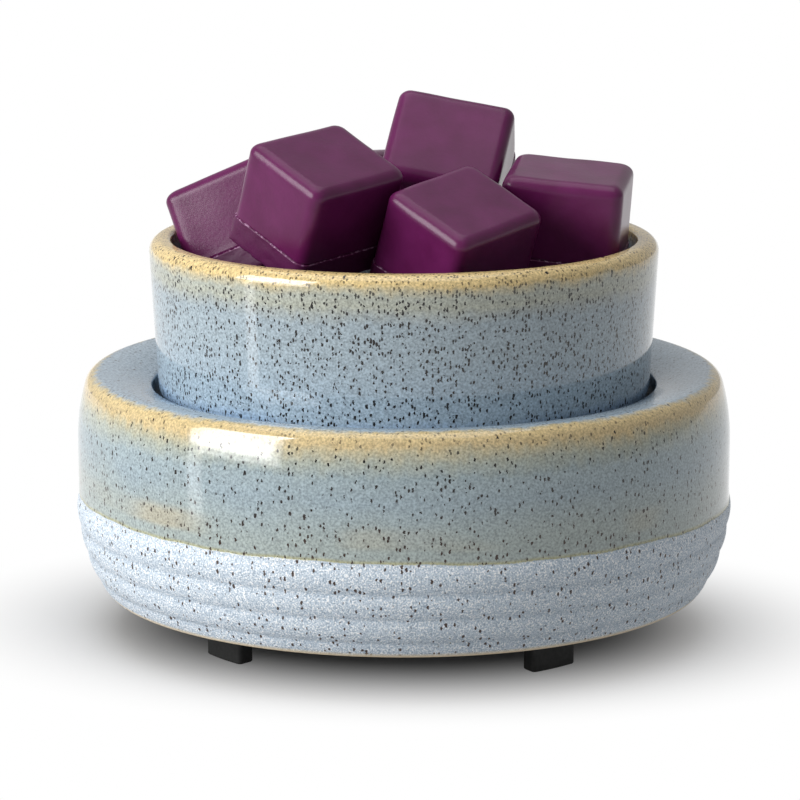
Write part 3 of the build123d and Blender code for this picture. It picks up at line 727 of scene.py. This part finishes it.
# %% Specks and gloss of the dish
small_specks = specks(tree, uneven, 0.56, 0.45, 0.24)
faint = add(tree, "ShaderNodeMapRange", {0: from_rim, 1: 2.0, 2: 5.0, 3: 0.75, 4: 1.0}).outputs[0]
small_specks = add(tree, "ShaderNodeMath", {0: small_specks, 1: faint}, operation="MULTIPLY").outputs[0]
large_specks = specks(tree, uneven, 2.0, 0.4, 0.3)
speckle = add(tree, "ShaderNodeMath", {0: small_specks, 1: large_specks}, operation="MAXIMUM").outputs[0]
skin = add(tree, "ShaderNodeMix", {0: speckle, 6: glazed, 7: iron_black}, data_type="RGBA").outputs[2]
skin = add(tree, "ShaderNodeMix", {0: bare, 6: skin, 7: linear("E2CCA6")}, data_type="RGBA").outputs[2]
roughness = add(tree, "ShaderNodeMapRange", {0: bare, 3: 0.08, 4: 0.7}).outputs[0]
shader = add(
    tree, "ShaderNodeBsdfPrincipled", {"Base Color": skin, "Roughness": roughness, "IOR": glaze_ior}
).outputs[0]
add(tree, "ShaderNodeOutputMaterial", {"Surface": shader})
wear(dish, dish_glaze)
print("dish glaze nodes:", len(tree.nodes))

# %% [markdown]
# ## Wax
#
# Dyed paraffin is deep and a little waxy: dull gloss, a faint glow under the surface and a fine bloom. The web zone
# is rougher and darker, because there the skin was broken, and pale chips run along its edge. A true volume would
# glow more deeply, but for wax this dark a little scattering under the surface is enough, and far quicker.

# %% Colour of the wax
wax, tree = new_material("dyed paraffin wax")
plain = add(tree, "ShaderNodeTexCoord").outputs["Object"]
web = add(tree, "ShaderNodeAttribute", attribute_name="web").outputs["Fac"]
bloom = add(tree, "ShaderNodeTexNoise", {"Vector": plain, "Scale": 1000 / 6.0, "Detail": 4.0}).outputs[0]
scuff = add(tree, "ShaderNodeTexNoise", {"Vector": plain, "Scale": 1000 / 0.7, "Detail": 4.0}).outputs[0]
dyed = add(tree, "ShaderNodeValToRGB", {0: bloom}, stops=[(0.3, "561545"), (0.75, "641D53")]).outputs[0]
broken = add(
    tree, "ShaderNodeMapRange", {0: web, 1: web_thickness + 0.1, 2: web_thickness - 0.2}
).outputs[0]
dark = add(tree, "ShaderNodeMath", {0: broken, 1: 0.4}, operation="MULTIPLY").outputs[0]
dyed = add(tree, "ShaderNodeMix", {0: dark, 6: dyed, 7: linear("3A1432")}, data_type="RGBA").outputs[2]
edge = add(
    tree, "ShaderNodeMapRange", {0: web, 1: web_thickness - 0.4, 2: web_thickness + 0.4}
).outputs[0]
edge = add(
    tree, "ShaderNodeValToRGB", {0: edge},
    stops=[(0.2, "000000"), (0.85, "000000"), (0.45, "FFFFFF"), (0.6, "FFFFFF")],
).outputs[0]
chips = add(tree, "ShaderNodeMapRange", {0: scuff, 1: 0.52, 2: 0.6, 3: 0.0, 4: 0.6}).outputs[0]
chips = add(tree, "ShaderNodeMath", {0: chips, 1: edge}, operation="MULTIPLY").outputs[0]
dyed = add(tree, "ShaderNodeMix", {0: chips, 6: dyed, 7: linear("C79BBE")}, data_type="RGBA").outputs[2]
print("nodes of the wax's colour:", len(tree.nodes))

# %% Gloss of the wax
roughness = add(tree, "ShaderNodeMapRange", {0: broken, 3: 0.28, 4: 0.45}).outputs[0]
scuff_height = add(tree, "ShaderNodeMapRange", {0: broken, 3: 0.35, 4: 1.0}).outputs[0]
scuff_height = add(tree, "ShaderNodeMath", {0: scuff_height, 1: scuff}, operation="MULTIPLY").outputs[0]
bump = add(tree, "ShaderNodeBump", {"Strength": 0.5, "Distance": 0.12 * MM, "Height": scuff_height}).outputs[0]
# The bloom on the skin scatters part of the gloss, so the mirror is a little weaker than clean paraffin's
shader = add(
    tree, "ShaderNodeBsdfPrincipled",
    {
        "Base Color": dyed, "Roughness": roughness, "IOR": 1.44, "Specular IOR Level": 0.36, "Normal": bump,
        "Subsurface Weight": 0.08, "Subsurface Radius": (1.0, 0.25, 0.7), "Subsurface Scale": 1.5 * MM,
    },
).outputs[0]
add(tree, "ShaderNodeOutputMaterial", {"Surface": shader})
for melt in melts.values():
    wear(melt, wax)
print("wax nodes:", len(tree.nodes))

# %% [markdown]
# ## The plain pieces
#
# Bezel, base, feet, grommet and the heater's parts keep their solids. Each finish is a base colour with a grain of
# its own size, a gloss that follows the same grain and a slight bump, so that none of them is a flat patch of colour.
# Most of these grains are under a tenth of a millimetre on the real pieces, too fine to show. They are drawn as
# coarse as they need to be seen, from half a millimetre up. The finishes differ only in numbers, so one loop makes
# them all from a table.

# %% Finishes of the plain pieces
# slot: the material, the two colours of its grain, the grain's size in mm, roughness from and to, metallic, the IOR
# where it isn't a metal, and the bump's height in mm
finishes = {
    # Near black with a soft sheen, as it comes from a polished mould
    "black_phenolic": ("moulded phenolic resin", "141413", "1F1E1C", 0.8, 0.38, 0.5, 0.0, 1.6, 0.03),
    # A flat dark grey that breaks light into a fine glitter
    "black_plastic": ("moulded ABS with a fine spark texture", "17181A", "222326", 0.6, 0.45, 0.6, 0.0, 1.53, 0.05),
    # Dull black that takes hardly any light
    "black_rubber": ("moulded rubber", "0F100F", "1B1C1B", 0.7, 0.6, 0.8, 0.0, 1.52, 0.04),
    # A cloudy pale grey, soft in its gloss
    "silicone": ("translucent silicone rubber", "C9C6BE", "D8D5CC", 1.5, 0.4, 0.5, 0.0, 1.41, 0.02),
    # Dark grey with a satin gloss, a coat and not bare metal
    "coated_aluminium": ("baked non-stick coating on aluminium", "3C3D3E", "515253", 0.5, 0.32, 0.45, 0.0, 1.6, 0.02),
    # Tan flakes, some of them shiny
    "mica": ("pressed mica sheet", "B6A787", "D2C6A8", 2.5, 0.25, 0.5, 0.0, 1.58, 0.02),
    # Warm grey metal, brushed by the rolls
    "resistance_foil": ("rolled resistance foil", "8E8880", "A39C92", 1.0, 0.28, 0.4, 1.0, None, 0.01),
    # White and fluffy, with no gloss at all
    "ceramic_felt": ("needled ceramic fibre felt", "DCD9D0", "F0EEE8", 1.2, 0.85, 0.95, 0.0, 1.5, 0.2),
    # Cool bright metal with a faint cloud in its gloss
    "plated_steel": ("zinc-plated steel", "A9ABAC", "BFC1C2", 2.0, 0.28, 0.42, 1.0, None, 0.01),
    # Metal a shade warmer than the steel
    "tinned_brass": ("tinned brass", "B9B4A6", "CBC6B8", 1.5, 0.25, 0.38, 1.0, None, 0.01),
    # Cream with a woven roughness under its varnish
    "glass_fibre_sleeve": ("varnished glass fibre braid", "CFC7A8", "E3DDC4", 0.9, 0.5, 0.65, 0.0, 1.5, 0.12),
    # The two wire colours, plain and soft in their gloss
    "brown_silicone": ("brown silicone insulation", "5A3620", "6A4228", 1.2, 0.42, 0.52, 0.0, 1.41, 0.02),
    "blue_silicone": ("blue silicone insulation", "2C5C9A", "366BAD", 1.2, 0.42, 0.52, 0.0, 1.41, 0.02),
    # Milky white with a clean moulded gloss
    "clear_nylon": ("milky moulded nylon", "C9CCC4", "DCDED8", 1.4, 0.3, 0.42, 0.0, 1.53, 0.02),
}
made = {}
for slot, (name, low, high, size, smooth, rough, metallic, ior, relief) in finishes.items():
    made[slot], tree = new_material(name)
    plain = add(tree, "ShaderNodeTexCoord").outputs["Object"]
    grain = add(tree, "ShaderNodeTexNoise", {"Vector": plain, "Scale": 1000 / size, "Detail": 3.0}).outputs[0]
    colour = add(tree, "ShaderNodeValToRGB", {0: grain}, stops=[(0.3, low), (0.7, high)]).outputs[0]
    gloss = add(tree, "ShaderNodeMapRange", {0: grain, 1: 0.3, 2: 0.7, 3: smooth, 4: rough}).outputs[0]
    bump = add(tree, "ShaderNodeBump", {"Strength": 0.6, "Distance": relief * MM, "Height": grain}).outputs[0]
    settings = {"Base Color": colour, "Roughness": gloss, "Metallic": metallic, "Normal": bump}
    if ior:
        settings["IOR"] = ior
    shader = add(tree, "ShaderNodeBsdfPrincipled", settings).outputs[0]
    add(tree, "ShaderNodeOutputMaterial", {"Surface": shader})

slot_of = {part["node"]: part["material_slot"] for part in frame["record"]["subparts"]}
for node, piece in frame["nodes"].items():
    if slot_of[node] in made:
        wear(piece, made[slot_of[node]])
print("plain finishes:", len(made))

# %% [markdown]
# ## Floor
#
# The warmer stands on white paper, which takes its shadow. Away from the pot the paper turns, for the camera and the
# reflections alone, into painted plain white, which fades in over an oval and so sets where the shadow ends. More
# light would also whiten it, but would wash out the glaze.

# %% The floor
floor_half = 6000.0
corners = np.array([(-1, -1, 0), (1, -1, 0), (1, 1, 0), (-1, 1, 0)]) * floor_half * MM
floor_mesh = bpy.data.meshes.new("floor")
floor_mesh.from_pydata(corners.tolist(), [], [(0, 1, 2, 3)])
floor = piece_of_mesh("floor", floor_mesh)
paper, tree = new_material("white paper sweep")
plain = add(tree, "ShaderNodeTexCoord").outputs["Object"]
# Painted light: the white fades in from 40 to 105 mm over an oval drawn in at the front, so the shadow ends nearer in
# front than at the sides
oval = add(tree, "ShaderNodeMapping", {"Vector": plain, "Scale": (1, 1.35, 1)}).outputs[0]
distance = add(tree, "ShaderNodeVectorMath", {0: oval}, operation="LENGTH").outputs["Value"]
away = add(
    tree, "ShaderNodeMapRange", {0: distance, 1: 40 * MM, 2: 105 * MM}, interpolation_type="SMOOTHSTEP"
).outputs[0]
path = add(tree, "ShaderNodeLightPath").outputs
mirrored = add(
    tree, "ShaderNodeMath", {0: path["Is Glossy Ray"], 1: path["Is Transmission Ray"]}, operation="MAXIMUM"
).outputs[0]
seen = add(tree, "ShaderNodeMath", {0: mirrored, 1: path["Is Camera Ray"]}, operation="MAXIMUM").outputs[0]
away = add(tree, "ShaderNodeMath", {0: away, 1: seen}, operation="MULTIPLY").outputs[0]
lit = add(tree, "ShaderNodeBsdfDiffuse", {"Color": linear("F2F2F2")}).outputs[0]
white = add(tree, "ShaderNodeEmission", {"Color": linear("FFFFFF"), "Strength": 1.0}).outputs[0]
sweep = add(tree, "ShaderNodeMixShader", {0: away, 1: lit, 2: white}).outputs[0]
add(tree, "ShaderNodeOutputMaterial", {"Surface": sweep})
wear(floor, paper)
print("floor nodes:", len(tree.nodes))

# %% [markdown]
# ## Light
#
# A glaze mirrors the shape of its lamps, so they are panels and not points. A soft panel at the left front is the
# main light. It leaves the floor alone, so that no second shadow shows. One overhead makes the soft shadow under the
# pot. A third panel and a narrow strip are seen only as the bright patch in the glaze at the left.

# %% Panels
def soft_panel(name, middle, towards, width, tall, radiance):
    """A flat lamp of width by tall mm; its power is pi times its area times the brightness of its face."""
    lamp = bpy.data.lights.new(name, "AREA")
    lamp.shape = "RECTANGLE"
    lamp.size, lamp.size_y = width * MM, tall * MM
    lamp.energy = np.pi * width * tall * MM**2 * radiance
    panel = bpy.data.objects.new(name, lamp)
    panel.location = Vector(middle) * MM
    panel.rotation_mode = "QUATERNION"
    panel.rotation_quaternion = (Vector(towards) - Vector(middle)).to_track_quat("-Z", "Y")
    panel.visible_camera = False
    bpy.context.scene.collection.objects.link(panel)
    print(name, "gives", round(lamp.energy, 3), "W")
    return panel


left_panel = soft_panel("left_panel", (-530.0, -370.0, 330.0), (0.0, 0.0, 60.0), 420.0, 420.0, 9.4)
soft_panel("top_panel", (-60.0, 0.0, 800.0), (0.0, 0.0, 0.0), 700.0, 700.0, 1.6)
mirror_panel = soft_panel("mirror_panel", (-190.0, -180.0, 146.0), (0.0, -19.0, 146.0), 136.0, 168.0, 5.8)
mirror_strip = soft_panel("mirror_strip", (-168.0, -103.0, 40.0), (-36.0, -56.5, 40.0), 18.0, 78.0, 3.0)
not_the_floor = bpy.data.collections.new("not the floor")
not_the_floor.objects.link(floor)
left_panel.light_linking.receiver_collection = not_the_floor
not_the_floor.collection_objects[0].light_linking.link_state = "EXCLUDE"
glazed_pieces = bpy.data.collections.new("glazed pieces")
glazed_pieces.objects.link(body)
glazed_pieces.objects.link(dish)
for panel in (mirror_panel, mirror_strip):
    panel.visible_diffuse = False
    panel.light_linking.receiver_collection = glazed_pieces

# %% [markdown]
# A grey room does the rest. It is dim as a light, so that the pot keeps its shaded side, brighter where it is
# mirrored in the glaze, and plain white where the camera looks past the floor.

# %% The room
room_light, room_mirrored = 0.27, 0.55
world = bpy.data.worlds.new("grey room")
world.use_nodes = True
world.node_tree.nodes.clear()
tree = world.node_tree
path = add(tree, "ShaderNodeLightPath").outputs
mirrored = add(
    tree, "ShaderNodeMath", {0: path["Is Glossy Ray"], 1: path["Is Transmission Ray"]}, operation="MAXIMUM"
).outputs[0]
strength = add(tree, "ShaderNodeMapRange", {0: mirrored, 3: room_light, 4: room_mirrored}).outputs[0]
strength = add(tree, "ShaderNodeMath", {0: strength, 1: path["Is Camera Ray"]}, operation="MAXIMUM").outputs[0]
room = add(tree, "ShaderNodeBackground", {"Color": linear("FFFFFF"), "Strength": strength}).outputs[0]
add(tree, "ShaderNodeOutputWorld", {"Surface": room})
bpy.context.scene.world = world
bpy.context.scene.view_settings.view_transform = "Standard"
print("room nodes:", len(tree.nodes))
